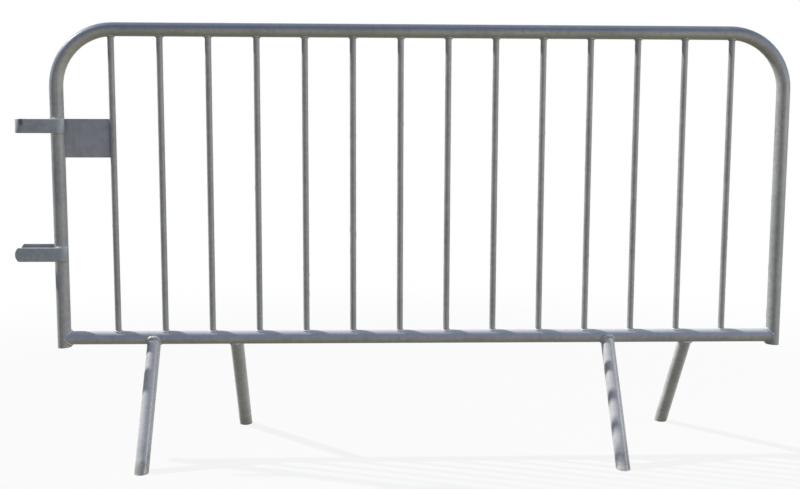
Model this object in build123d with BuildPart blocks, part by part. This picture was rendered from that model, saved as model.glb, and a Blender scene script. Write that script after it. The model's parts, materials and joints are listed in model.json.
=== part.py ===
from build123d import *
import os
from math import asin, degrees, hypot, sqrt

# Crowd-control barrier in welded, galvanised steel tube. Millimetres, +Z up, +X along the frame.
# The origin lies on the ground under the middle of the overall box.

# Frame
FRAME_LENGTH = 1900.0  # over the outsides of the two uprights
TOTAL_HEIGHT = 1100.0  # ground to the crown of the top rail
GROUND_CLEARANCE = 275.0  # ground to the underside of the bottom rail
TUBE_DIAMETER = 35.0  # one stock for arch, bottom rail and legs
TUBE_WALL = 1.5
BEND_RADIUS = 145.0  # arch corners, on the tube's centre line
UPRIGHT_TAIL = 8.0  # upright ends below the bottom rail's underside, on their outer sides
TAIL_SLANT = 2.0  # the inner side of those ends is cut this much higher

# Upright bars
BAR_COUNT = 14
BAR_DIAMETER = 16.0
BAR_WALL = 1.2
END_GAP = 139.5  # upright axis to the axis of the nearest bar

# Legs: the front pair and the rear pair are the same, turned half round
LEG_SPLAY = 215.0  # foot centre to the frame's plane
OUTER_LEG_INSET = 232.5  # upright axis to the outer leg of a pair
INNER_LEG_INSET = 444.5  # other upright's axis to the inner leg of a pair

# Couplings on the left upright, all of one flat strip
STRIP_HEIGHT = 36.0
STRIP_THICKNESS = 5.0
FRONT_WRAP = 66.0  # degrees of the upright that the ends of the hook and the front arm hug
REAR_WRAP = 30.0  # and the end of the rear arm
HOOK_DROP = 242.5  # top rail axis to the middle of the hook
HOOK_REACH = 88.0  # upright's outside to the far side of the hook
HOOK_BEND = 15.0  # inside radius of the hook's corner
HOOK_LIP = 22.0  # straight length past the corner
FORK_RISE = 220.0  # bottom rail axis to the middle of the front arm
FORK_REACH = 95.0  # upright's outside to the tip of the front arm
FORK_REAR_SHORT = 4.0  # the rear arm ends this much nearer
FORK_STAGGER = 6.0  # the rear arm sits this much higher
FORK_TIP_CROWN = 8.0  # how far the rounded tips stand out

# Marking plate
PLATE_HEIGHT = 98.0
PLATE_THICKNESS = 3.0

# Welds
ROOT_GAP = 0.2  # fit-up clearance at every coped or butted end
RAIL_EAR = 5.0  # the thin ears of the rail's coped ends are cut off this far from the upright's axis
LEG_EAR = 11.5  # and those of the legs this far from the rail's axis
EAR_WELD_BACK = 2.5  # the bead's centre line runs this much nearer to that axis than the cut
TUBE_WELD = 3.4  # bead radius where tube meets tube
BAR_WELD = 3.5  # leg of the fillet round each bar end
BAR_WELD_EDGE = 1.0  # height of that fillet at its toes
STRIP_WELD = 4.0  # leg of the fillet along the strips
STRIP_WELD_RUNOUT = 30.0  # degrees that it runs on past the strip's tangent
PLATE_TACK = 3.0  # radius of the plate's tacks
PLATE_TACK_LENGTH = 18.0

# Places worked out from the sizes above
tube_r = TUBE_DIAMETER / 2
bar_r = BAR_DIAMETER / 2
frame_x = max(HOOK_REACH, FORK_REACH) / 2
left_x = frame_x - FRAME_LENGTH / 2 + tube_r
right_x = frame_x + FRAME_LENGTH / 2 - tube_r
top_z = TOTAL_HEIGHT - tube_r
rail_z = GROUND_CLEARANCE + tube_r
tail_z = GROUND_CLEARANCE - UPRIGHT_TAIL
stock_z = tail_z - tube_r  # where the arch's stock ends before its tails are cut off
bar_pitch = (right_x - left_x - 2 * END_GAP) / (BAR_COUNT - 1)
bar_xs = [left_x + END_GAP + i * bar_pitch for i in range(BAR_COUNT)]
hook_z = top_z - HOOK_DROP
fork_z = rail_z + FORK_RISE
strip_in = tube_r + ROOT_GAP
strip_mid = strip_in + STRIP_THICKNESS / 2
legs = {
    "leg_front_left": (left_x + OUTER_LEG_INSET, -1),
    "leg_front_right": (right_x - INNER_LEG_INSET, -1),
    "leg_rear_left": (left_x + INNER_LEG_INSET, 1),
    "leg_rear_right": (right_x - OUTER_LEG_INSET, 1),
}

os.makedirs("parts", exist_ok=True)


def save(part, name):
    part.label = name
    export_step(part, f"parts/{name}.step")
    print(f"{name}: {len(part.solids())} solids, {part.volume / 1000:.2f} cm3")


def leg_plane(x, side):
    """Plane square to a leg, on the bottom rail's axis, with its normal running down the leg."""
    return Plane((x, 0, rail_z), x_dir=(1, 0, 0), z_dir=(0, side * LEG_SPLAY, -rail_z))


def tube_core(path, radius):
    """A solid of the given radius round a tube's centre line."""
    with BuildPart() as core:
        with BuildSketch(Plane(path @ 0, z_dir=path % 0)):
            Circle(radius)
        sweep(path=path)
    return core.part


# Centre lines of the arch, from one open end round to the other, and of the bottom rail
with BuildLine(Plane.XZ) as arch_line:
    corners = [(left_x, stock_z), (left_x, top_z), (right_x, top_z), (right_x, stock_z)]
    FilletPolyline(*corners, radius=BEND_RADIUS)
with BuildLine(Plane.XZ) as rail_line:
    Line((left_x, rail_z), (right_x, rail_z))
arch_path = arch_line.wire()
rail_path = rail_line.wire()

# Room that a piece coped to the arch or to the bottom rail leaves round it
arch_room = tube_core(arch_path, tube_r + ROOT_GAP)
rail_room = tube_core(rail_path, tube_r + ROOT_GAP)

# Arch frame: both uprights and the top rail are one bent tube, its ends cut off at a slant
tail_cut = [
    (-TUBE_DIAMETER, -TUBE_DIAMETER),
    (TUBE_DIAMETER, -TUBE_DIAMETER),
    (TUBE_DIAMETER, TAIL_SLANT * 3 / 2),
    (-TUBE_DIAMETER, -TAIL_SLANT / 2),
]
with BuildPart() as arch_frame:
    with BuildSketch(Plane.XY.offset(stock_z)):
        with Locations((left_x, 0)):
            Circle(tube_r)
            Circle(tube_r - TUBE_WALL, mode=Mode.SUBTRACT)
    sweep(path=arch_path)
    with BuildSketch(Plane.XZ):
        for axis_x, inward in ((left_x, 1), (right_x, -1)):
            with Locations((axis_x, tail_z)):
                Polygon(*[(inward * x, z) for x, z in tail_cut], align=None)
    extrude(amount=TUBE_DIAMETER, both=True, mode=Mode.SUBTRACT)
save(arch_frame.part, "arch_frame")

# Bottom rail: coped at both ends to sit against the uprights, with the cope's thin ears cut off
with BuildPart() as bottom_rail:
    with BuildSketch(Plane.YZ.offset(left_x + RAIL_EAR)):
        with Locations((0, rail_z)):
            Circle(tube_r)
            Circle(tube_r - TUBE_WALL, mode=Mode.SUBTRACT)
    extrude(amount=right_x - left_x - 2 * RAIL_EAR)
    add(arch_room, mode=Mode.SUBTRACT)
save(bottom_rail.part, "bottom_rail")

# Upright bars: each coped to the bottom rail and to the arch
for number, bar_x in enumerate(bar_xs, start=1):
    with BuildPart() as bar:
        with BuildSketch(Plane.XY.offset(rail_z)):
            with Locations((bar_x, 0)):
                Circle(bar_r)
                Circle(bar_r - BAR_WALL, mode=Mode.SUBTRACT)
        extrude(amount=top_z - rail_z)
        add(rail_room, mode=Mode.SUBTRACT)
        add(arch_room, mode=Mode.SUBTRACT)
    save(bar.part, f"bar_{number:02d}")

# Legs: coped to the bottom rail with the ears cut off, and with the feet cut level on the ground
for name, (leg_x, side) in legs.items():
    with BuildPart() as leg:
        with BuildSketch(leg_plane(leg_x, side).offset(LEG_EAR)):
            Circle(tube_r)
            Circle(tube_r - TUBE_WALL, mode=Mode.SUBTRACT)
        extrude(amount=LEG_SPLAY + rail_z)
        add(rail_room, mode=Mode.SUBTRACT)
        split(bisect_by=Plane.XY, keep=Keep.TOP)
    save(leg.part, name)


def strip_along(path):
    """The couplings' flat strip, standing on edge, swept along a level path."""
    with BuildPart() as strip:
        with BuildSketch(Plane(path @ 0, x_dir=(0, 0, 1), z_dir=path % 0)):
            Rectangle(STRIP_HEIGHT, STRIP_THICKNESS)
        sweep(path=path)
    return strip.part


# Hook: hugs the upright's front, runs out past it and turns back round the next upright
with BuildLine(Plane.XY.offset(hook_z)) as hook_path:
    corner_r = HOOK_BEND + STRIP_THICKNESS / 2
    corner_x = left_x - tube_r - HOOK_REACH + STRIP_THICKNESS + HOOK_BEND
    hug = CenterArc((left_x, 0), strip_mid, -90 + FRONT_WRAP, -FRONT_WRAP)
    Line(hug @ 1, (corner_x, -strip_mid))
    corner = CenterArc((corner_x, corner_r - strip_mid), corner_r, -90, -90)
    Line(corner @ 1, corner @ 1 + Vector(0, HOOK_LIP))
save(strip_along(hook_path.wire()), "hook")


def fork_arm(side, wrap, reach, mid_z):
    """One fork arm, hugging the front (side -1) or the rear (side 1) of the upright, its tip rounded."""
    tip_x = left_x - tube_r - reach
    crown_x = tip_x + FORK_TIP_CROWN
    low_z = mid_z - STRIP_HEIGHT / 2
    high_z = mid_z + STRIP_HEIGHT / 2
    with BuildLine(Plane.XY.offset(mid_z)) as hug:
        CenterArc((left_x, 0), strip_mid, side * 90, -side * wrap)
    with BuildPart() as arm:
        with BuildSketch(Plane.XZ.offset(-side * strip_in)):
            with BuildLine():
                Line((left_x, low_z), (left_x, high_z))
                Line((left_x, high_z), (crown_x, high_z))
                ThreePointArc((crown_x, high_z), (tip_x, mid_z), (crown_x, low_z))
                Line((crown_x, low_z), (left_x, low_z))
            make_face()
        extrude(amount=-side * STRIP_THICKNESS)
        add(strip_along(hug.wire()))
    return arm.part


save(fork_arm(-1, FRONT_WRAP, FORK_REACH, fork_z), "fork_front_arm")
save(fork_arm(1, REAR_WRAP, FORK_REACH - FORK_REAR_SHORT, fork_z + FORK_STAGGER), "fork_rear_arm")

# Marking plate: in the frame's plane, its top level with the hook's
plate_top_z = hook_z + STRIP_HEIGHT / 2
plate_bottom_z = plate_top_z - PLATE_HEIGHT
plate_left_x = left_x + tube_r + ROOT_GAP
plate_right_x = bar_xs[0] - bar_r - ROOT_GAP
with BuildPart() as marking_plate:
    with BuildSketch(Plane.XZ):
        with Locations(((plate_left_x + plate_right_x) / 2, (plate_top_z + plate_bottom_z) / 2)):
            Rectangle(plate_right_x - plate_left_x, PLATE_HEIGHT)
    extrude(amount=PLATE_THICKNESS / 2, both=True)
save(marking_plate.part, "marking_plate")


def seam_bead(origin, branch, main, ear):
    """Weld bead round the end of one tube (along branch) on the side of another (along main).

    Equal tubes that meet square share a seam of two half ellipses, each in a plane at 45 degrees. Where
    the branch's ears are cut off, the bead runs along the cut and fills the gap to the main tube.
    """
    across = branch.cross(main)
    level = ear - EAR_WELD_BACK
    turn = degrees(asin(level / tube_r))
    seams = []
    for lean in (main, -main):
        with BuildLine(Plane(origin, x_dir=across, z_dir=across.cross(branch + lean))) as flank:
            EllipticalCenterArc((0, 0), tube_r, tube_r * sqrt(2), turn, arc_size=180 - 2 * turn)
        seams.append(flank.wire())
    for tip in (across, -across):
        with BuildLine(Plane(origin + branch * level, x_dir=tip, z_dir=branch)) as cut:
            CenterArc((0, 0), tube_r, -turn, 2 * turn)
        seams.append(cut.wire())
    with BuildPart() as bead:
        for seam in seams:
            with BuildSketch(Plane(seam @ 0, z_dir=seam % 0)):
                Circle(TUBE_WELD)
            sweep(path=seam)
        with Locations(*[seam @ end for seam in seams[:2] for end in (0, 1)]):
            Sphere(TUBE_WELD)
        with Locations(Plane(origin, x_dir=-branch, z_dir=main).location):
            Cylinder(tube_r, 4 * TUBE_DIAMETER, mode=Mode.SUBTRACT)
        with Locations(Plane(origin, x_dir=across + main, z_dir=branch).location):
            Cylinder(tube_r - TUBE_WALL, 4 * TUBE_DIAMETER, mode=Mode.SUBTRACT)
        from_cut = (Align.CENTER, Align.CENTER, Align.MIN)
        with Locations(Plane(origin + branch * ear, x_dir=across + main, z_dir=branch).location):
            Cylinder(tube_r, TUBE_DIAMETER, align=from_cut, mode=Mode.SUBTRACT)
    return bead.part


# Beads round both ends of the bottom rail
with BuildPart() as rail_welds:
    add(seam_bead(Vector(left_x, 0, rail_z), Vector(1, 0, 0), Vector(0, 0, 1), RAIL_EAR))
    add(seam_bead(Vector(right_x, 0, rail_z), Vector(-1, 0, 0), Vector(0, 0, 1), RAIL_EAR))
save(rail_welds.part, "rail_welds")

# Beads round the heads of the legs
with BuildPart() as leg_welds:
    for leg_x, side in legs.values():
        head = leg_plane(leg_x, side)
        add(seam_bead(head.origin, head.z_dir, Vector(1, 0, 0), LEG_EAR))
save(leg_welds.part, "leg_welds")


def is_crest(edge, path):
    """Whether a collar's edge lies a weld's leg off both its bar and the tube along path."""
    middle = edge @ 0.5
    off_bar = min(hypot(middle.X - bar_x, middle.Y) for bar_x in bar_xs) - bar_r
    off_tube = path.distance_to(middle) - tube_r
    return min(off_bar, off_tube) > BAR_WELD - ROOT_GAP


def bar_fillets(path):
    """Collars round the bar ends on the tube along path, within a weld's leg of both, crests bevelled."""
    span = top_z - rail_z
    with BuildPart() as welds:
        with Locations(*[(bar_x, 0, rail_z + span / 2) for bar_x in bar_xs]):
            Cylinder(bar_r + BAR_WELD, span)
            Cylinder(bar_r, span, mode=Mode.SUBTRACT)
        add(tube_core(path, tube_r + BAR_WELD), mode=Mode.INTERSECT)
        add(tube_core(path, tube_r), mode=Mode.SUBTRACT)
        chamfer(welds.edges().filter_by(lambda edge: is_crest(edge, path)), BAR_WELD - BAR_WELD_EDGE)
    return welds.part


# Fillet collars round the feet and the heads of the bars
save(bar_fillets(rail_path), "bar_foot_welds")
save(bar_fillets(arch_path), "bar_head_welds")


def strip_bead(side, wrap, edge_z, rise):
    """Fillet on the upright along one edge of a strip; rise is 1 above the strip and -1 below it."""
    start = -90 - STRIP_WELD_RUNOUT if side < 0 else 90 - wrap
    radial = Plane.XZ.rotated((0, 0, start))
    with BuildPart() as bead:
        with BuildSketch(Plane((left_x, 0, edge_z), x_dir=radial.x_dir, z_dir=radial.z_dir)):
            Polygon((tube_r, 0), (tube_r + STRIP_WELD, 0), (tube_r, rise * STRIP_WELD), align=None)
        revolve(axis=Axis((left_x, 0, 0), (0, 0, 1)), revolution_arc=wrap + STRIP_WELD_RUNOUT)
    return bead.part


# Fillets above and below the hook and both fork arms
with BuildPart() as coupling_welds:
    strips = [(-1, FRONT_WRAP, hook_z), (-1, FRONT_WRAP, fork_z), (1, REAR_WRAP, fork_z + FORK_STAGGER)]
    for side, wrap, mid_z in strips:
        for rise in (1, -1):
            add(strip_bead(side, wrap, mid_z + rise * STRIP_HEIGHT / 2, rise))
save(coupling_welds.part, "coupling_welds")

# Tacks on the marking plate's back, at both ends of the edges by the upright and by the first bar
tack_spots = [
    (edge_x, PLATE_THICKNESS / 2, mid_z)
    for edge_x in (plate_left_x, plate_right_x)
    for mid_z in (plate_bottom_z + PLATE_TACK_LENGTH / 2, plate_top_z - PLATE_TACK_LENGTH / 2)
]
with BuildPart() as plate_tacks:
    with Locations(*tack_spots):
        Cylinder(PLATE_TACK, PLATE_TACK_LENGTH)
    split(bisect_by=Plane.XZ.offset(-PLATE_THICKNESS / 2), keep=Keep.BOTTOM)
    for axis_x, radius in ((left_x, tube_r), (bar_xs[0], bar_r)):
        with Locations((axis_x, 0, plate_bottom_z + PLATE_HEIGHT / 2)):
            Cylinder(radius, 2 * PLATE_HEIGHT, mode=Mode.SUBTRACT)
save(plate_tacks.part, "plate_tacks")
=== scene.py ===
# %% [markdown]
# A welded crowd-control barrier
# The real barrier is one tube bent to an arch, closed by a bottom rail, filled with upright bars and
# stood on four splayed legs. All of it is welded and then dipped in molten zinc.
# Every shape already has its size and place in the CAD model, so this script reads them from its solids.
# What is left for Blender is what the eye sees last: weld beads, runs of zinc, and the weathered coat.
# Lengths are in metres, angles in radians unless a line says degrees, and colours are linear.

# %% Load the barrier
import json
from math import cos, pi, radians, sin

import bmesh
import bpy
from mathutils import Matrix, Vector


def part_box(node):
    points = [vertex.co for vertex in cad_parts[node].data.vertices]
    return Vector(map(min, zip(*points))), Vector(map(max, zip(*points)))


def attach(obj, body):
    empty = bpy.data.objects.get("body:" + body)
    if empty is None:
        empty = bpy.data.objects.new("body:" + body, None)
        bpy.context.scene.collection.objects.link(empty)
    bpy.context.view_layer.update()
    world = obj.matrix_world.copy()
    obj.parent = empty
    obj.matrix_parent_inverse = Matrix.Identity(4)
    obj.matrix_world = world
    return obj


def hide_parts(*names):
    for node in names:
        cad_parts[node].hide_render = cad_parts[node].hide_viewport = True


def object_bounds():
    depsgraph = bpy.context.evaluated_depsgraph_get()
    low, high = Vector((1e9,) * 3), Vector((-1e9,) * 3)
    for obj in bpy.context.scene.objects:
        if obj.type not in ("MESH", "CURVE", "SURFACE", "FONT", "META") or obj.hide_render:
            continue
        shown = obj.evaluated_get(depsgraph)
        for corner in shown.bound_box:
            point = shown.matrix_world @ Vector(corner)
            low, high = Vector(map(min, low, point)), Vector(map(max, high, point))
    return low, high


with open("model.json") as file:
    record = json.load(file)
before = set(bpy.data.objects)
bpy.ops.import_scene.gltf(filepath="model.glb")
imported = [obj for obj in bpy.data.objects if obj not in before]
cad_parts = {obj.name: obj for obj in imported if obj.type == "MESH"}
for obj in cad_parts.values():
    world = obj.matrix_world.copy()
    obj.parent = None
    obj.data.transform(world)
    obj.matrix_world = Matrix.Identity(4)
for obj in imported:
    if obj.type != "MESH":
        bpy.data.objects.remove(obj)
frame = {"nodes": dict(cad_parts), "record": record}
nodes = frame["nodes"]
scene = bpy.context.scene
cad_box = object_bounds()
print("solids:", len(nodes), "box from", tuple(cad_box[0]), "to", tuple(cad_box[1]))

# %% [markdown]
# Where the photographer stood
# A camera can be placed by eye, or worked out from points that are known on the object.
# Here it was worked out from the ends of the bars, the corners and the feet, so it has odd numbers.
# It stands about waist high, just under three metres in front of the barrier, a little left of its middle.

# %% Camera
focal_length = 49.544
camera_place = (-0.12542, -2.84266, 0.88190)
turned_right = 0.03933
looking_down = 0.12109
leaning_left = 0.00364
camera_data = bpy.data.cameras.new("camera")
camera_data.sensor_width = 36.0
camera_data.lens = focal_length
camera = bpy.data.objects.new("camera", camera_data)
scene.collection.objects.link(camera)
scene.camera = camera
heading = Matrix.Rotation(-turned_right, 4, "Z")
pitch = Matrix.Rotation(pi / 2 - looking_down, 4, "X")
lean = Matrix.Rotation(leaning_left, 4, "Z")
camera.matrix_world = Matrix.Translation(camera_place) @ heading @ pitch @ lean
print("camera with a lens of", focal_length, "mm at", camera_place)

# %% [markdown]
# Light
# Outdoors, the light came from behind the left end, about as high as it was far to the left. It put a
# bright rim on the left of each upright tube, and the bars threw shadows across the rail and down the legs.
# Those shadows tell where the light stood: its direction is the one that puts them where they were seen.
# It is one far lamp here, wide enough to soften the shadows' edges. On the right, a long soft box brightens
# the tubes' other side, and a slim one above it draws a line of light down the legs.
# The boxes' brightness is told in times the white of the background, which keeps the light at a plain level.

# %% Far lamp
scene.view_settings.view_transform = "Standard"


def facing_back(direction):
    """The turn of a lamp that stands in a direction and shines back along it."""
    return direction.to_track_quat("Z", "Y").to_matrix().to_4x4()


towards_sun = Vector((-0.716, 0.276, 0.641))
sun_data = bpy.data.lights.new("sun", "SUN")
sun_data.energy = 4.5
sun_data.angle = radians(1.5)
sun_data.color = (1.0, 0.97, 0.92)
sun = bpy.data.objects.new("sun", sun_data)
sun.matrix_world = facing_back(towards_sun)
scene.collection.objects.link(sun)
print("sun", sun_data.energy, "W on a square metre")

# %% Soft boxes
middle = (cad_box[0] + cad_box[1]) / 2


def soft_box(name, place, width, height, brightness, colour):
    """A rectangular lamp that faces the middle of the barrier."""
    data = bpy.data.lights.new(name, "AREA")
    data.shape = "RECTANGLE"
    data.size = width
    data.size_y = height
    data.energy = pi * width * height * brightness
    data.color = colour
    lamp = bpy.data.objects.new(name, data)
    lamp.matrix_world = Matrix.Translation(place) @ facing_back(Vector(place) - middle)
    scene.collection.objects.link(lamp)
    print(name, round(data.energy), "W")


soft_box(
    "high_right_box",
    place=(5.6, -2.0, 3.7),
    width=4.0,
    height=0.7,
    brightness=6.5,
    colour=(1.0, 0.98, 0.90),
)
soft_box(
    "right_box",
    place=(7.7, -4.45, 1.2),
    width=8.0,
    height=2.4,
    brightness=3.8,
    colour=(1.0, 0.96, 0.90),
)

# %% [markdown]
# A few words for building node trees
# Materials and Geometry Nodes are both built from nodes and links, and written out in full they get long.
# These helpers add one node, fill its sockets by identifier, and hand back the socket that goes on.
# A value is put into the socket, and another node's output is linked to it.

# %% Node helpers


def add_node(tree, kind, sockets=None, **settings):
    """Adds a node. sockets maps the identifier of an input to a value or to another node's output."""
    node = tree.nodes.new(kind)
    for key, value in settings.items():
        setattr(node, key, value)
    for identifier, value in (sockets or {}).items():
        socket = next(s for s in node.inputs if s.identifier == identifier)
        if isinstance(value, bpy.types.NodeSocket):
            tree.links.new(value, socket)
        else:
            socket.default_value = value
    return node


def calc(tree, operation, a, b=0.0, c=0.0):
    """One step of arithmetic on numbers or on outputs."""
    values = {"Value": a, "Value_001": b, "Value_002": c}
    return add_node(tree, "ShaderNodeMath", values, operation=operation).outputs["Value"]


def ease(tree, value, low, high, to_low=0.0, to_high=1.0):
    """Goes smoothly from to_low to to_high while the value goes from low to high."""
    ends = {"Value": value, "From Min": low, "From Max": high, "To Min": to_low, "To Max": to_high}
    return add_node(tree, "ShaderNodeMapRange", ends, interpolation_type="SMOOTHSTEP").outputs["Result"]


def blend(tree, factor, a, b, how="MIX"):
    """Mixes two colours."""
    ends = {"Factor_Float": factor, "A_Color": a, "B_Color": b}
    node = add_node(tree, "ShaderNodeMix", ends, data_type="RGBA", blend_type=how)
    return next(s for s in node.outputs if s.identifier == "Result_Color")


def part_of(tree, vector, axis):
    """One of a vector's three numbers."""
    return add_node(tree, "ShaderNodeSeparateXYZ", {"Vector": vector}).outputs[axis]


def vector_of(tree, **parts):
    """A vector from its X, Y and Z. What is left out is 0."""
    return add_node(tree, "ShaderNodeCombineXYZ", parts).outputs["Vector"]


def length_of(tree, vector):
    """How long a vector is."""
    return add_node(tree, "ShaderNodeVectorMath", {"Vector": vector}, operation="LENGTH").outputs["Value"]


def seen_directly(tree):
    """1 for rays that show the background as it is: straight, mirrored or through glass."""
    rays = add_node(tree, "ShaderNodeLightPath").outputs
    mirrored = calc(tree, "MAXIMUM", rays["Is Glossy Ray"], rays["Is Transmission Ray"])
    return calc(tree, "MAXIMUM", rays["Is Camera Ray"], mirrored)


print("node helpers ready")

# %% [markdown]
# Background and floor
# The photograph shows the barrier cut out on white. A white world would flood the metal with light, so the
# world is white only for rays that look at it, and a quiet sky blue where it lights things.
# The floor is pale and keeps a light shadow round the feet. Further out it fades into the same white.
# What it throws back up is warm and weak, as from dry ground, and with the painted shade it gives the
# undersides their olive tone.

# %% World
plain_white = (1.0, 1.0, 1.0, 1.0)
sky_blue = (0.36, 0.55, 1.0, 1.0)
sky_level = 0.20
world = bpy.data.worlds.new("studio")
scene.world = world
world.use_nodes = True
tree = world.node_tree
tree.nodes.clear()
ambient = add_node(tree, "ShaderNodeBackground", {"Color": sky_blue, "Strength": sky_level})
white = add_node(tree, "ShaderNodeBackground", {"Color": plain_white, "Strength": 1.0})
either = {"Fac": seen_directly(tree), "Shader": ambient.outputs[0], "Shader_001": white.outputs[0]}
sky = add_node(tree, "ShaderNodeMixShader", either)
add_node(tree, "ShaderNodeOutputWorld", {"Surface": sky.outputs[0]})
print("world", world.name)

# %% Floor finish
dry_ground = (0.24, 0.222, 0.181, 1.0)
pale_grey = (0.60, 0.60, 0.60, 1.0)
shadow_reach = 1.4
white_reach = 3.0
whiteness_at_feet = 0.88
floor_finish = bpy.data.materials.new("pale_floor")
floor_finish.use_nodes = True
tree = floor_finish.node_tree
tree.nodes.clear()
spot = add_node(tree, "ShaderNodeTexCoord").outputs["Object"]
fading = ease(tree, length_of(tree, spot), shadow_reach, white_reach, to_low=whiteness_at_feet)
seen = seen_directly(tree)
pale = add_node(tree, "ShaderNodeBsdfDiffuse", {"Color": blend(tree, seen, dry_ground, pale_grey)})
glow = add_node(tree, "ShaderNodeEmission", {"Color": plain_white, "Strength": 1.0})
either = {
    "Fac": calc(tree, "MULTIPLY", seen, fading),
    "Shader": pale.outputs[0],
    "Shader_001": glow.outputs[0],
}
ground = add_node(tree, "ShaderNodeMixShader", either)
add_node(tree, "ShaderNodeOutputMaterial", {"Surface": ground.outputs[0]})
print("floor finish with", len(tree.nodes), "nodes")

# %% Floor
floor_radius = 40.0
floor_mesh = bpy.data.meshes.new("floor")
shape = bmesh.new()
bmesh.ops.create_circle(shape, cap_ends=True, segments=96, radius=floor_radius)
shape.to_mesh(floor_mesh)
shape.free()
floor_mesh.materials.append(floor_finish)
floor = bpy.data.objects.new("floor", floor_mesh)
scene.collection.objects.link(floor)
print("floor of radius", floor_radius)

# %% [markdown]
# The zinc coat
# Hot-dip zinc is never one grey. It cools in crystals about a centimetre wide, called spangle, it dries in
# clouds, and years of rain draw streaks down it. Over that, light is painted in: the upper sides get a
# painted cool blue grey as the sky's reflection, the top of the bottom rail a painted highlight, and the
# undersides a painted olive shade.
# A painted picture could show this once, but noise in the object's own coordinates fits every tube.
# The way a face points, up or down, decides how much painted reflection, highlight or shade it gets.

# %% Zinc patterns


def noise(tree, place, scale, detail=3.0, roughness=0.55):
    """Soft random values between about 0.3 and 0.7."""
    sockets = {"Vector": place, "Scale": scale, "Detail": detail, "Roughness": roughness}
    return add_node(tree, "ShaderNodeTexNoise", sockets).outputs["Fac"]


def zinc_patterns(tree, crystals_per_metre):
    """The values that every zinc finish is mixed from. Streaks are noise that is drawn out downwards."""
    place = add_node(tree, "ShaderNodeTexCoord").outputs["Object"]
    facing = add_node(tree, "ShaderNodeNewGeometry").outputs["Normal"]
    cells = {"Vector": place, "Scale": crystals_per_metre, "Randomness": 1.0}
    crystal = add_node(tree, "ShaderNodeTexVoronoi", cells).outputs["Color"]
    drawn_down = add_node(tree, "ShaderNodeMapping", {"Vector": place, "Scale": (1.0, 1.0, 0.035)})
    return {
        "height": part_of(tree, place, "Z"),
        "upward": part_of(tree, facing, "Z"),
        "crystal": add_node(tree, "ShaderNodeSeparateColor", {"Color": crystal}).outputs["Red"],
        "cloud": noise(tree, place, scale=8.0, detail=5.0, roughness=0.6),
        "blotch": noise(tree, place, scale=38.0, detail=4.0, roughness=0.6),
        "grain": noise(tree, place, scale=420.0, detail=2.0),
        "streak": noise(tree, drawn_down.outputs["Vector"], scale=85.0),
    }


print("zinc patterns ready")

# %% [markdown]
# Layers of weather and painted light
# A finish could be one mixed colour, but then every tube would look the same all round. Here it is laid on
# in layers: zinc first, then a painted sky reflection on faces that look up, a painted highlight or sky tint
# on top, painted shade underneath, rain streaks and spots, and the mud near the ground.
# Each layer starts at one value of a pattern and is full at another, and the values below say where.

# %% Colour of the zinc, with painted light
cloud_edge = (0.34, 0.66)
# The next three values place painted light by how a face tilts: sky reflection, top tint and shade below.
sky_tint_span = 0.7
top_tint_tilt = (0.45, 0.95)
shade_tilt = (-0.10, -0.90)
streak_edge = (0.52, 0.74)
spot_edge = (0.56, 0.72)
mud_edge = (0.36, 0.60)
splash_height = 0.10


def zinc_colour(tree, pattern, dull, bright, painted_sky_tint, painted_top_tint, mud_and_painted_shade, sky_tint_from, crystal_share):
    """Clouds and crystals of zinc under layers of weather and of painted reflection, highlight and shade."""
    colour = blend(tree, ease(tree, pattern["cloud"], *cloud_edge), (*dull, 1.0), (*bright, 1.0))
    tone = ease(tree, pattern["crystal"], 0.0, 1.0, 0.5 - crystal_share, 0.5 + crystal_share)
    grey = add_node(tree, "ShaderNodeCombineColor", {"Red": tone, "Green": tone, "Blue": tone})
    colour = blend(tree, 1.0, colour, grey.outputs["Color"], "OVERLAY")
    splashed = ease(tree, pattern["height"], splash_height, 0.0, to_high=0.6)
    muddy = calc(tree, "MULTIPLY", splashed, ease(tree, pattern["blotch"], *mud_edge))
    # The first three layers are painted light: sky reflection, top highlight or tint, and shade underneath.
    layers = [
        (ease(tree, pattern["upward"], sky_tint_from, sky_tint_from + sky_tint_span, to_high=0.9), painted_sky_tint, "MIX"),
        (ease(tree, pattern["upward"], *top_tint_tilt, to_high=0.85), painted_top_tint, "MIX"),
        (ease(tree, pattern["upward"], *shade_tilt, to_high=0.9), mud_and_painted_shade, "MIX"),
        (ease(tree, pattern["streak"], *streak_edge, to_high=0.15), dull, "MULTIPLY"),
        (ease(tree, pattern["blotch"], *spot_edge, to_high=0.14), bright, "MIX"),
        (muddy, mud_and_painted_shade, "MIX"),
    ]
    for share, tint, how in layers:
        colour = blend(tree, share, colour, (*tint, 1.0), how)
    return colour


print("zinc is mixed in layers, with mud up to", splash_height)

# %% Zinc finish
cloud_roughness = 0.2
crystal_roughness = 0.08
blotch_height = 2.0
streak_height = 0.8
skin_depth = 0.0007


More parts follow.
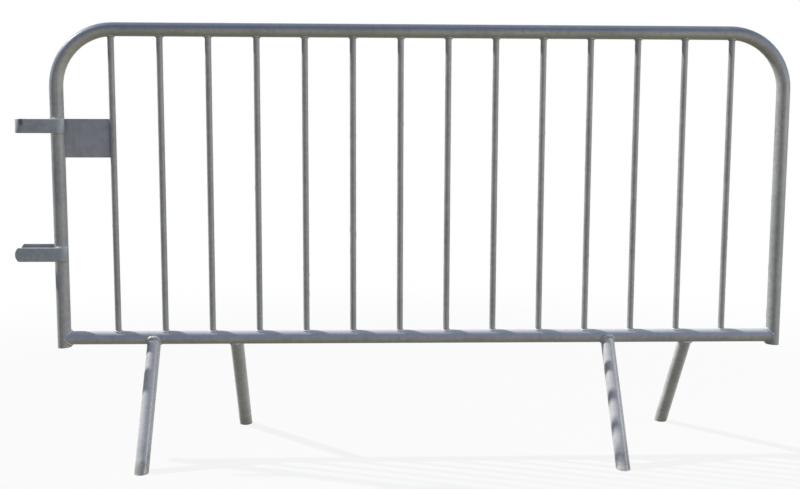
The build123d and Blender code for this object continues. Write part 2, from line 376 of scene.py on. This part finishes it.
def zinc_finish(
    name,
    dull,
    bright,
    painted_sky_tint,
    painted_top_tint,
    mud_and_painted_shade,
    sky_tint_from,
    crystals_per_metre=120.0,
    crystal_share=0.045,
    roughness=0.42,
    metal=0.08,
    relief=0.15,
):
    """A galvanised finish, from dull to bright in clouds.

    The three tints after bright are painted light on the faces that look up, straight up and down: a painted
    sky reflection, a painted highlight or sky tint, and painted shade, which also colours the mud near the
    ground. The value after them is the upward part of a face's direction at which the sky reflection starts.
    """
    finish = bpy.data.materials.new(name)
    finish.use_nodes = True
    tree = finish.node_tree
    shader = tree.nodes["Principled BSDF"]
    pattern = zinc_patterns(tree, crystals_per_metre)
    colour = zinc_colour(tree, pattern, dull, bright, painted_sky_tint, painted_top_tint, mud_and_painted_shade, sky_tint_from, crystal_share)
    smoothest = roughness - (cloud_roughness + crystal_roughness) / 2
    rough = calc(tree, "MULTIPLY_ADD", pattern["cloud"], cloud_roughness, smoothest)
    rough = calc(tree, "MULTIPLY_ADD", pattern["crystal"], crystal_roughness, rough)
    height = calc(tree, "MULTIPLY_ADD", pattern["blotch"], blotch_height, pattern["grain"])
    height = calc(tree, "MULTIPLY_ADD", pattern["streak"], streak_height, height)
    skin = add_node(tree, "ShaderNodeBump", {"Height": height, "Strength": relief, "Distance": skin_depth})
    tree.links.new(colour, shader.inputs["Base Color"])
    tree.links.new(rough, shader.inputs["Roughness"])
    tree.links.new(skin.outputs["Normal"], shader.inputs["Normal"])
    shader.inputs["Metallic"].default_value = metal
    shader.inputs["Specular IOR Level"].default_value = 0.2
    print("finish", name, "with", len(tree.nodes), "nodes")
    return finish


print("zinc finish ready")

# %% [markdown]
# Six kinds of surface
# Zinc looks different on each kind of stock. The arch and the bars are one grade of tube, and the bottom
# rail is the same tube with a painted highlight along its top. The legs are smoother, and painted brighter
# for the light that falls on them. Strip and sheet are duller, and painted bluer for the sky's reflection,
# and weld metal is lumpy, with the finest crystals.
# Six trees could be built one by one, but one function with other numbers keeps them in one family.

# %% Finishes of the tubes
# In each finish, the three tints after bright are painted light: sky reflection above, a highlight or sky
# tint on top, and shade below, which also colours the mud.
tube_zinc = zinc_finish(
    "tube_zinc",
    dull=(0.404, 0.404, 0.366),
    bright=(0.494, 0.494, 0.451),
    painted_sky_tint=(0.200, 0.245, 0.355),
    painted_top_tint=(0.180, 0.200, 0.265),
    mud_and_painted_shade=(0.290, 0.295, 0.230),
    sky_tint_from=-0.25,
)
# The bottom rail's pale top tint is a painted highlight where light falls on it, and its blue a painted sky
# reflection.
rail_zinc = zinc_finish(
    "rail_zinc",
    dull=(0.410, 0.412, 0.375),
    bright=(0.500, 0.502, 0.460),
    painted_sky_tint=(0.400, 0.450, 0.590),
    painted_top_tint=(0.700, 0.710, 0.730),
    mud_and_painted_shade=(0.300, 0.305, 0.245),
    sky_tint_from=-0.3,
)
# The legs' lighter colours are painted light, standing in for the light that falls on them.
leg_zinc = zinc_finish(
    "leg_zinc",
    dull=(0.530, 0.535, 0.545),
    bright=(0.620, 0.625, 0.630),
    painted_sky_tint=(0.580, 0.595, 0.630),
    painted_top_tint=(0.580, 0.590, 0.620),
    mud_and_painted_shade=(0.200, 0.205, 0.165),
    sky_tint_from=-0.1,
    crystal_share=0.04,
    roughness=0.27,
    metal=0.11,
    relief=0.03,
)

# %% Finishes of the strips, the plate and the welds
# The blue in the strip and sheet colours is a painted sky reflection on their flat faces, and their pale top
# tints, like the weld's, are painted highlights along upper edges.
strip_zinc = zinc_finish(
    "strip_zinc",
    dull=(0.322, 0.360, 0.394),
    bright=(0.372, 0.409, 0.440),
    painted_sky_tint=(0.760, 0.770, 0.785),
    painted_top_tint=(0.800, 0.810, 0.820),
    mud_and_painted_shade=(0.130, 0.132, 0.124),
    sky_tint_from=-0.05,
    crystals_per_metre=110.0,
    metal=0.1,
    relief=0.18,
)
sheet_zinc = zinc_finish(
    "sheet_zinc",
    dull=(0.355, 0.370, 0.408),
    bright=(0.381, 0.398, 0.434),
    painted_sky_tint=(0.340, 0.350, 0.380),
    painted_top_tint=(0.500, 0.510, 0.540),
    mud_and_painted_shade=(0.130, 0.132, 0.124),
    sky_tint_from=0.05,
    crystals_per_metre=75.0,
    crystal_share=0.035,
    roughness=0.48,
    metal=0.12,
    relief=0.12,
)
weld_zinc = zinc_finish(
    "weld_zinc",
    dull=(0.380, 0.385, 0.380),
    bright=(0.480, 0.485, 0.480),
    painted_sky_tint=(0.580, 0.600, 0.640),
    painted_top_tint=(0.760, 0.770, 0.790),
    mud_and_painted_shade=(0.230, 0.235, 0.200),
    sky_tint_from=-0.1,
    crystals_per_metre=240.0,
    crystal_share=0.05,
    roughness=0.34,
    metal=0.15,
    relief=0.22,
)

# %% [markdown]
# Painted light on the hook
# The hook's bent corner is painted bright where the light falls on the bend, and a dark spot beside its edge
# is painted shade in the inner corner. A decal could carry such marks, but a spot in the finish itself is
# simpler: an ellipsoid in the object's own coordinates tints the strip where the strip passes through it.

# %% Painted highlight and shade on the hook
full_within = 0.4


def painted_light_spot(finish, place, radii, colour, share):
    """Tints a finish inside an ellipsoid, fully near its middle and softly towards its rim."""
    tree = finish.node_tree
    base = tree.nodes["Principled BSDF"].inputs["Base Color"]
    spot = add_node(tree, "ShaderNodeTexCoord").outputs["Object"]
    ends = {"Vector": spot, "Vector_001": place}
    away = add_node(tree, "ShaderNodeVectorMath", ends, operation="SUBTRACT").outputs["Vector"]
    ends = {"Vector": away, "Vector_001": radii}
    in_radii = add_node(tree, "ShaderNodeVectorMath", ends, operation="DIVIDE").outputs["Vector"]
    inside = ease(tree, length_of(tree, in_radii), 1.0, full_within, to_high=share)
    tree.links.new(blend(tree, inside, base.links[0].from_socket, (*colour, 1.0)), base)
    # The spot is painted light, a painted highlight or painted shade.
    print("rub mark on", finish.name, "at", tuple(round(v, 3) for v in place))


hook_low, hook_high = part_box("hook")
hook_middle = (hook_low.z + hook_high.z) / 2
highlight_depth = 0.018
# Painted highlight where the light falls on the hook's bend.
painted_light_spot(
    strip_zinc,
    place=(hook_low.x, hook_low.y + highlight_depth, hook_middle),
    radii=(0.020, 0.040, 0.030),
    colour=(0.640, 0.660, 0.645),
    share=0.9,
)
# Painted shade in the inner corner beside the hook's bend, placed by the next two values.
shade_spot_inset = 0.020
shade_spot_rise = 0.012
painted_light_spot(
    strip_zinc,
    place=(hook_low.x + shade_spot_inset, hook_low.y, hook_middle + shade_spot_rise),
    radii=(0.007, 0.012, 0.017),
    colour=(0.050, 0.054, 0.054),
    share=0.75,
)

# %% [markdown]
# Dressing the solids
# A solid from the CAD model keeps its shape and only gets a finish, through its material slot.
# The record names a slot for every solid, so one table from slot to finish dresses them all. The legs get a
# smoother zinc that still has some shine, painted brighter for the light that falls on them. The bottom rail
# is made of the arch's tube, with a painted highlight and a painted sky reflection on its upper side.

# %% Finishes on the solids
finish_of = {
    "galvanised_tube": tube_zinc,
    "galvanised_strip": strip_zinc,
    "galvanised_sheet": sheet_zinc,
    "galvanised_weld": weld_zinc,
}
for solid in nodes.values():
    slot = solid.material_slots[0]
    slot.material = finish_of[slot.material.name.split(".")[0]]
leg_names = ["leg_front_left", "leg_front_right", "leg_rear_left", "leg_rear_right"]
for name in leg_names:
    nodes[name].material_slots[0].material = leg_zinc
nodes["bottom_rail"].material_slots[0].material = rail_zinc
print("dressed", len(nodes), "solids")

# %% [markdown]
# Rolled edges
# Flat strip comes from the mill with its edges rolled, and a sheared plate loses its burr in the zinc bath.
# A CAD solid has perfectly sharp edges, which catch no light. A merged copy with a small bevel does.
# The bevel is narrower than half the metal's thickness, so the strips and the plate keep their size.

# %% Strips and plate with rolled edges
merge_distance = 1e-5
flat_within = radians(1)
sharp_from = radians(40)


def rolled_copy(node, name, slot_name, edge_radius):
    """A copy of a flat solid with its edges rounded, standing in for it."""
    shape = bmesh.new()
    shape.from_mesh(nodes[node].data)
    bmesh.ops.remove_doubles(shape, verts=shape.verts, dist=merge_distance)
    bmesh.ops.dissolve_limit(shape, angle_limit=flat_within, verts=shape.verts, edges=shape.edges)
    for face in shape.faces:
        face.smooth = True
    mesh = bpy.data.meshes.new(name)
    shape.to_mesh(mesh)
    shape.free()
    mesh.materials.append(finish_of[slot_name])
    piece = bpy.data.objects.new(name, mesh)
    scene.collection.objects.link(piece)
    rim = piece.modifiers.new("rolled_edge", "BEVEL")
    rim.width = edge_radius
    rim.segments = 3
    rim.limit_method = "ANGLE"
    rim.angle_limit = sharp_from
    rim.harden_normals = True
    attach(piece, "root")
    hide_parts(node)
    print(name, len(mesh.polygons), "faces")


strip_edge = 0.0023
plate_edge = 0.0006
rolled_copy("hook", "hook_strip", "galvanised_strip", strip_edge)
rolled_copy("fork_front_arm", "fork_front_strip", "galvanised_strip", strip_edge)
rolled_copy("fork_rear_arm", "fork_rear_strip", "galvanised_strip", strip_edge)
rolled_copy("marking_plate", "marking_sheet", "galvanised_sheet", plate_edge)

# %% [markdown]
# Weld beads round the tube ends
# A welder lays the bead in overlapping puddles, so it swells and dips every few millimetres.
# The seam where one tube's end sits on the side of another is a saddle, and it follows a rule: a point of
# the seam that is y off the branch's middle lies sqrt(R*R - y*y) from the axis of a main tube of radius R.
# Geometry Nodes can bend a circle to that saddle, sweep a rippled bead along it and set it at every joint.
# Equal tubes would meet in two thin ears, which a welder cuts off square, so the saddle has a lowest depth.
# Each joint is a vertex that knows two directions: along its branch and along its main tube.

# %% Opening and closing a tree


def new_tree(name, inputs):
    """A Geometry Nodes tree with named inputs. Returns it with the outputs of its input node."""
    tree = bpy.data.node_groups.new(name, "GeometryNodeTree")
    tree.interface.new_socket("Geometry", in_out="INPUT", socket_type="NodeSocketGeometry")
    for socket_name, kind, value in inputs:
        socket = tree.interface.new_socket(socket_name, in_out="INPUT", socket_type=f"NodeSocket{kind}")
        if value is not None:
            socket.default_value = value
    tree.interface.new_socket("Geometry", in_out="OUTPUT", socket_type="NodeSocketGeometry")
    return tree, add_node(tree, "NodeGroupInput").outputs


def carried_value(tree, name, data_type):
    """A value that each point carries under a name."""
    read = add_node(tree, "GeometryNodeInputNamedAttribute", {"Name": name}, data_type=data_type)
    return next(s for s in read.outputs if s.name == "Attribute" and s.enabled)


def moved(tree, geometry, **where):
    """Moves points by an Offset or to a Position."""
    return add_node(tree, "GeometryNodeSetPosition", {"Geometry": geometry, **where}).outputs[0]


def close_tree(tree, geometry, material):
    """Turns instances into real faces, smooth and with their finish, as the tree's result."""
    real = add_node(tree, "GeometryNodeRealizeInstances", {"Geometry": geometry}).outputs[0]
    smooth = add_node(tree, "GeometryNodeSetShadeSmooth", {"Geometry": real}).outputs[0]
    dressed = add_node(tree, "GeometryNodeSetMaterial", {"Geometry": smooth, "Material": material})
    tree.links.new(dressed.outputs[0], add_node(tree, "NodeGroupOutput").inputs[0])


print("tree helpers ready")

# %% A rippled and uneven bead
bead_sides = 14
lumps_per_metre = 190.0
bead_inputs = [
    ("Bead Radius", "Float", 0.003),
    ("Ripple Pitch", "Float", 0.003),
    ("Ripple Depth", "Float", 0.2),
    ("Unevenness", "Float", 0.002),
    ("Seed", "Int", 1),
    ("Finish", "Material", None),
]


def rippled_bead(tree, seam, given, thickness):
    """Sweeps a bead along a seam. It swells and dips once in every ripple pitch."""
    along = add_node(tree, "GeometryNodeSplineParameter").outputs["Length"]
    turns = calc(tree, "DIVIDE", calc(tree, "MULTIPLY", along, pi), given["Ripple Pitch"])
    puddle = calc(tree, "ABSOLUTE", calc(tree, "SINE", turns))
    dip = calc(tree, "MULTIPLY", calc(tree, "SUBTRACT", 1.0, puddle), given["Ripple Depth"])
    swell = calc(tree, "MULTIPLY", calc(tree, "SUBTRACT", 1.0, dip), thickness)
    ring = {"Resolution": bead_sides, "Radius": given["Bead Radius"]}
    profile = add_node(tree, "GeometryNodeCurvePrimitiveCircle", ring).outputs["Curve"]
    sweep = {"Curve": seam, "Profile Curve": profile, "Scale": swell, "Fill Caps": True}
    return add_node(tree, "GeometryNodeCurveToMesh", sweep).outputs["Mesh"]


def uneven(tree, geometry, given):
    """Pushes the bead's skin in and out at random, differently at every joint."""
    where = add_node(tree, "GeometryNodeInputPosition").outputs[0]
    outward = add_node(tree, "GeometryNodeInputNormal").outputs["Normal"]
    random = {"Vector": where, "W": given["Seed"], "Scale": lumps_per_metre, "Detail": 1.0}
    value = add_node(tree, "ShaderNodeTexNoise", random, noise_dimensions="4D").outputs["Fac"]
    push = calc(tree, "MULTIPLY", calc(tree, "SUBTRACT", value, 0.5), given["Unevenness"])
    shift = add_node(tree, "ShaderNodeVectorMath", {"Vector": outward, "Scale": push}, operation="SCALE")
    return moved(tree, geometry, Offset=shift.outputs["Vector"])


print("every bead has", [name for name, kind, value in bead_inputs])

# %% Saddle seam
circle_steps = 180
ear_rounding = 0.003
side_to_ear = (0.3, 0.95)


def saddle_seam(tree, given):
    """A circle bent to the saddle of a branch on its main tube, and how thick the bead is along it."""
    start = {"Resolution": circle_steps, "Radius": given["Branch Radius"]}
    circle = add_node(tree, "GeometryNodeCurvePrimitiveCircle", start).outputs["Curve"]
    off_axis = part_of(tree, add_node(tree, "GeometryNodeInputPosition").outputs[0], "Y")
    room = calc(tree, "MULTIPLY", given["Main Radius"], given["Main Radius"])
    depth = calc(tree, "SUBTRACT", room, calc(tree, "MULTIPLY", off_axis, off_axis))
    rise = calc(tree, "SQRT", calc(tree, "MAXIMUM", depth, 0.0))
    rise = calc(tree, "SMOOTH_MAX", rise, given["Ear"], ear_rounding)
    bent = moved(tree, circle, Offset=vector_of(tree, Z=rise))
    even = {"Curve": bent, "Count": given["Steps"]}
    saddle = add_node(tree, "GeometryNodeResampleCurve", even).outputs["Curve"]
    to_ear = calc(tree, "DIVIDE", calc(tree, "ABSOLUTE", off_axis), given["Branch Radius"])
    return saddle, ease(tree, to_ear, *side_to_ear, given["At Side"], given["At Ear"])


print("saddle seam of", circle_steps, "steps")

# %% Saddle bead tree
saddle_inputs = [
    ("Branch Radius", "Float", 0.01),
    ("Main Radius", "Float", 0.02),
    ("Ear", "Float", 0.0),
    ("At Side", "Float", 1.0),
    ("At Ear", "Float", 1.0),
    ("Steps", "Int", 120),
]
saddle_tree, given = new_tree("saddle_bead", saddle_inputs + bead_inputs)
seam, thickness = saddle_seam(saddle_tree, given)
bead = rippled_bead(saddle_tree, seam, given, thickness)
both_axes = {
    "Primary Axis": carried_value(saddle_tree, "branch", "FLOAT_VECTOR"),
    "Secondary Axis": carried_value(saddle_tree, "main", "FLOAT_VECTOR"),
}
turned = add_node(
    saddle_tree, "FunctionNodeAxesToRotation", both_axes, primary_axis="Z", secondary_axis="X"
)
spread = {"Points": given["Geometry"], "Instance": bead, "Rotation": turned.outputs["Rotation"]}
beads = add_node(saddle_tree, "GeometryNodeInstanceOnPoints", spread).outputs["Instances"]
beads = add_node(saddle_tree, "GeometryNodeRealizeInstances", {"Geometry": beads}).outputs[0]
close_tree(saddle_tree, uneven(saddle_tree, beads, given), given["Finish"])
print("saddle bead tree with", len(saddle_tree.nodes), "nodes")

# %% [markdown]
# Where the tubes meet
# The places come from the solids themselves: a solid's box gives its axis and its radius.
# Bars stand on the bottom rail and hang from the top rail. The rail meets the uprights, the legs the rail.
# A leg slants from the rail to its foot, and the record says where each foot stands.

# %% Axes and radii of the tubes
low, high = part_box("bottom_rail")
tube_radius = (high.y - low.y) / 2
rail_z = (low.z + high.z) / 2
arch_low, arch_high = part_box("arch_frame")
top_z = arch_high.z - tube_radius
left_x = arch_low.x + tube_radius
right_x = arch_high.x - tube_radius
bar_boxes = [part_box(name) for name in sorted(nodes) if name[:4] == "bar_" and name[4:].isdigit()]
bar_xs = [(low.x + high.x) / 2 for low, high in bar_boxes]
bar_radius = (bar_boxes[0][1].x - bar_boxes[0][0].x) / 2
print(len(bar_xs), "bars of radius", round(bar_radius, 4), "on tubes of radius", round(tube_radius, 4))

# %% From a tree to a piece


def bake_piece(name, carrier, tree, inputs):
    """Runs a tree on the carrier and keeps the result as one plain mesh piece."""
    scene.collection.objects.link(carrier)
    nodes_modifier = carrier.modifiers.new("nodes", "NODES")
    nodes_modifier.node_group = tree
    for item in tree.interface.items_tree:
        if item.in_out == "INPUT" and item.name in inputs:
            nodes_modifier[item.identifier] = inputs[item.name]
    evaluated = carrier.evaluated_get(bpy.context.evaluated_depsgraph_get())
    mesh = bpy.data.meshes.new_from_object(evaluated)
    mesh.name = name
    bpy.data.objects.remove(carrier)
    piece = bpy.data.objects.new(name, mesh)
    scene.collection.objects.link(piece)
    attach(piece, "root")
    print(name, len(mesh.polygons), "faces")
    return piece


def weld_piece(name, node, carrier, tree, inputs):
    """Bakes beads that take the place of the plain weld solids of a node."""
    piece = bake_piece(name, carrier, tree, inputs)
    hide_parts(node)


def joint_points(joints):
    """A mesh of loose vertices, one for each joint, that carry the directions of its two tubes."""
    mesh = bpy.data.meshes.new("joints")
    mesh.from_pydata([place for place, branch, main in joints], [], [])
    for name, column in (("branch", 1), ("main", 2)):
        values = mesh.attributes.new(name, "FLOAT_VECTOR", "POINT")
        for row, joint in zip(values.data, joints):
            row.vector = joint[column]
    return bpy.data.objects.new("joints", mesh)


print("ready to bake pieces")

# %% Beads at the feet and heads of the bars
up = Vector((0, 0, 1))
along = Vector((1, 0, 0))
bar_bead = {
    "Branch Radius": bar_radius,
    "Main Radius": tube_radius,
    "Ear": 0.0,
    "Steps": 110,
    "Bead Radius": 0.0028,
    "Ripple Pitch": 0.0032,
    "Ripple Depth": 0.12,
    "Unevenness": 0.0018,
    "Finish": weld_zinc,
}
feet = joint_points([((x, 0, rail_z), up, along) for x in bar_xs])
weld_piece("bar_foot_beads", "bar_foot_welds", feet, saddle_tree, {**bar_bead, "Seed": 3})
heads = joint_points([((x, 0, top_z), -up, along) for x in bar_xs])
weld_piece("bar_head_beads", "bar_head_welds", heads, saddle_tree, {**bar_bead, "Seed": 8})

# %% Beads at the rail's ends and the legs' heads
tube_bead = {
    **bar_bead,
    "Branch Radius": tube_radius,
    "Steps": 240,
    "Bead Radius": 0.0036,
    "Ripple Pitch": 0.0036,
}
rail_bead = {**tube_bead, "Ear": 0.0025, "At Side": 1.15, "At Ear": 0.6, "Seed": 5}
rail_ends = joint_points([((left_x, 0, rail_z), along, up), ((right_x, 0, rail_z), -along, up)])
weld_piece("rail_beads", "rail_welds", rail_ends, saddle_tree, rail_bead)
leg_bead = {**tube_bead, "Ear": 0.009, "At Side": 0.7, "At Ear": 1.3, "Seed": 6}
foot_place = {mount["name"]: mount["pos_m"] for mount in frame["record"]["mounts"]}
leg_heads = []
for name in leg_names:
    low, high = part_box(name)
    foot_y = foot_place[name.replace("leg", "foot")][1]
    down_leg = Vector((0, foot_y, -rail_z)).normalized()
    leg_heads.append((((low.x + high.x) / 2, 0, rail_z), down_leg, along))
weld_piece("leg_beads", "leg_welds", joint_points(leg_heads), saddle_tree, leg_bead)

# %% [markdown]
# Weld runs along the strips and the plate
# The couplings are welded above and below each strip, on a short arc round the upright, and the plate is
# tacked at its four corners from behind. These seams are open, so the bead starts and ends in a taper.
# The same ripple is used, but the seams are drawn as curves and the tree sweeps whatever curve it is given.
# A strip comes up to the upright at a tangent and then hugs it for some degrees, and its seams do the same.

# %% Open bead tree
steps_per_ripple = 6.0
thin_end = 0.35
run_tree, given = new_tree("open_bead", [("Taper", "Float", 0.004)] + bead_inputs)
step = calc(run_tree, "DIVIDE", given["Ripple Pitch"], steps_per_ripple)
even = {"Curve": given["Geometry"], "Length": step}
seam = add_node(run_tree, "GeometryNodeResampleCurve", even, mode="LENGTH").outputs["Curve"]
from_start = add_node(run_tree, "GeometryNodeSplineParameter").outputs["Length"]
whole = add_node(run_tree, "GeometryNodeSplineLength").outputs["Length"]
nearest_end = calc(run_tree, "MINIMUM", from_start, calc(run_tree, "SUBTRACT", whole, from_start))
in_tapers = calc(run_tree, "DIVIDE", nearest_end, given["Taper"])
thickness = ease(run_tree, in_tapers, 0.0, 1.0, to_low=thin_end)
bead = rippled_bead(run_tree, seam, given, thickness)
close_tree(run_tree, uneven(run_tree, bead, given), given["Finish"])
print("open bead tree with", len(run_tree.nodes), "nodes")

# %% Seams along the couplings
seam_steps = 24
lead_in_degrees = 30
stand_off = 0.0004


def seam_curves(name, seams):
    """A curve object with one open line for each seam."""
    data = bpy.data.curves.new(name, "CURVE")
    data.dimensions = "3D"
    for points in seams:
        line = data.splines.new("POLY")
        line.points.add(len(points) - 1)
        for knot, place in zip(line.points, points):
            knot.co = (*place, 1.0)
    return bpy.data.objects.new(name, data)


def strip_seam(side, hug_degrees, edge_z):
    """An arc on the upright from a little before the strip's tangent to where the strip's hug ends."""
    reach = tube_radius + stand_off
    seam = []
    for i in range(seam_steps + 1):
        angle = radians(90 + lead_in_degrees - (lead_in_degrees + hug_degrees) * i / seam_steps)
        seam.append((left_x + reach * cos(angle), side * reach * sin(angle), edge_z))
    return seam


front, rear = -1, 1
strip_hugs = [("hook", front, 66), ("fork_front_arm", front, 66), ("fork_rear_arm", rear, 30)]
strip_seams = []
for name, side, hug_degrees in strip_hugs:
    low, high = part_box(name)
    strip_seams += [strip_seam(side, hug_degrees, edge_z) for edge_z in (low.z, high.z)]
print(len(strip_seams), "seams on the left upright")

# %% Runs along the couplings and the plate
run_bead = {
    "Taper": 0.006,
    "Bead Radius": 0.0034,
    "Ripple Pitch": 0.0034,
    "Ripple Depth": 0.16,
    "Unevenness": 0.0022,
    "Finish": weld_zinc,
}
runs = seam_curves("strip_seams", strip_seams)
weld_piece("coupling_beads", "coupling_welds", runs, run_tree, {**run_bead, "Seed": 11})

tack_length = 0.018
low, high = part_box("marking_plate")
tack_seams = []
for x in (low.x, high.x):
    for z in (low.z, high.z - tack_length):
        tack_seams.append([(x, high.y, z), (x, high.y, z + tack_length)])
tacks = seam_curves("tack_seams", tack_seams)
tack_bead = {**run_bead, "Bead Radius": 0.003, "Seed": 13}
weld_piece("plate_tack_beads", "plate_tacks", tacks, run_tree, tack_bead)

# %% [markdown]
# Runs of zinc
# When a barrier is drawn out of the bath, spare zinc drains down it and some freezes on the way, as flat
# drops with a thick lower end. They are under a millimetre high and a fingernail long.
# A tree makes one drop and sets a few on every upright tube, at random heights and all round.
# The seed is fixed, so they sit in the same places each time.

# %% One drop of zinc
slim_top = 0.3
drop_inputs = [
    ("Count", "Int", 5),
    ("Lowest", "Float", 0.4),
    ("Highest", "Float", 1.0),
    ("Length", "Float", 0.009),
    ("Width", "Float", 0.0019),
    ("Height", "Float", 0.0008),
    ("Seed", "Int", 1),
    ("Finish", "Material", None),
]
drop_tree, given = new_tree("zinc_runs", drop_inputs)
ball = add_node(drop_tree, "GeometryNodeMeshUVSphere", {"Segments": 14, "Rings": 10, "Radius": 1.0})
where = add_node(drop_tree, "GeometryNodeInputPosition").outputs[0]
part = add_node(drop_tree, "ShaderNodeSeparateXYZ", {"Vector": where}).outputs
slim = ease(drop_tree, part["Z"], -1.0, 1.0, 1.0, slim_top)
sides = {
    "X": calc(drop_tree, "MULTIPLY", calc(drop_tree, "MULTIPLY", part["X"], slim), given["Height"]),
    "Y": calc(drop_tree, "MULTIPLY", calc(drop_tree, "MULTIPLY", part["Y"], slim), given["Width"]),
    "Z": calc(drop_tree, "MULTIPLY", part["Z"], given["Length"]),
}
drop = moved(drop_tree, ball.outputs["Mesh"], Position=vector_of(drop_tree, **sides))
print("a drop is slimmed to", slim_top, "at its top")

# %% Drops on the tubes
shortest, longest = 0.5, 1.4
several = {"Geometry": given["Geometry"], "Amount": given["Count"]}
copies = add_node(drop_tree, "GeometryNodeDuplicateElements", several, domain="POINT").outputs["Geometry"]
number = add_node(drop_tree, "GeometryNodeInputIndex").outputs[0]


def pick(low, high, channel):
    """A random number for each drop; channel keeps the picks apart."""
    seed = calc(drop_tree, "ADD", given["Seed"], channel)
    ends = {"Min_001": low, "Max_001": high, "ID": number, "Seed": seed}
    node = add_node(drop_tree, "FunctionNodeRandomValue", ends, data_type="FLOAT")
    return next(s for s in node.outputs if s.identifier == "Value_001")


angle = pick(0.0, 2 * pi, 0)
radius = carried_value(drop_tree, "radius", "FLOAT")
on_tube = {
    "X": calc(drop_tree, "MULTIPLY", calc(drop_tree, "COSINE", angle), radius),
    "Y": calc(drop_tree, "MULTIPLY", calc(drop_tree, "SINE", angle), radius),
    "Z": pick(given["Lowest"], given["Highest"], 1),
}
spread = {
    "Points": moved(drop_tree, copies, Offset=vector_of(drop_tree, **on_tube)),
    "Instance": drop,
    "Rotation": vector_of(drop_tree, Z=angle),
    "Scale": vector_of(drop_tree, X=1.0, Y=1.0, Z=pick(shortest, longest, 2)),
}
drops = add_node(drop_tree, "GeometryNodeInstanceOnPoints", spread).outputs["Instances"]
close_tree(drop_tree, drops, given["Finish"])
print("zinc run tree with", len(drop_tree.nodes), "nodes")

# %% Runs on the bars and the uprights
clear_of_rail = 0.05
clear_of_bend = 0.16
tube_axes = bpy.data.meshes.new("tube_axes")
tube_axes.from_pydata([(x, 0, 0) for x in [left_x, *bar_xs, right_x]], [], [])
radii = tube_axes.attributes.new("radius", "FLOAT", "POINT")
for row, radius in zip(radii.data, [tube_radius] + [bar_radius] * len(bar_xs) + [tube_radius]):
    row.value = radius
inputs = {
    "Count": 6,
    "Lowest": rail_z + clear_of_rail,
    "Highest": top_z - clear_of_bend,
    "Seed": 21,
    "Finish": tube_zinc,
}
piece = bake_piece("zinc_runs", bpy.data.objects.new("tube_axes", tube_axes), drop_tree, inputs)
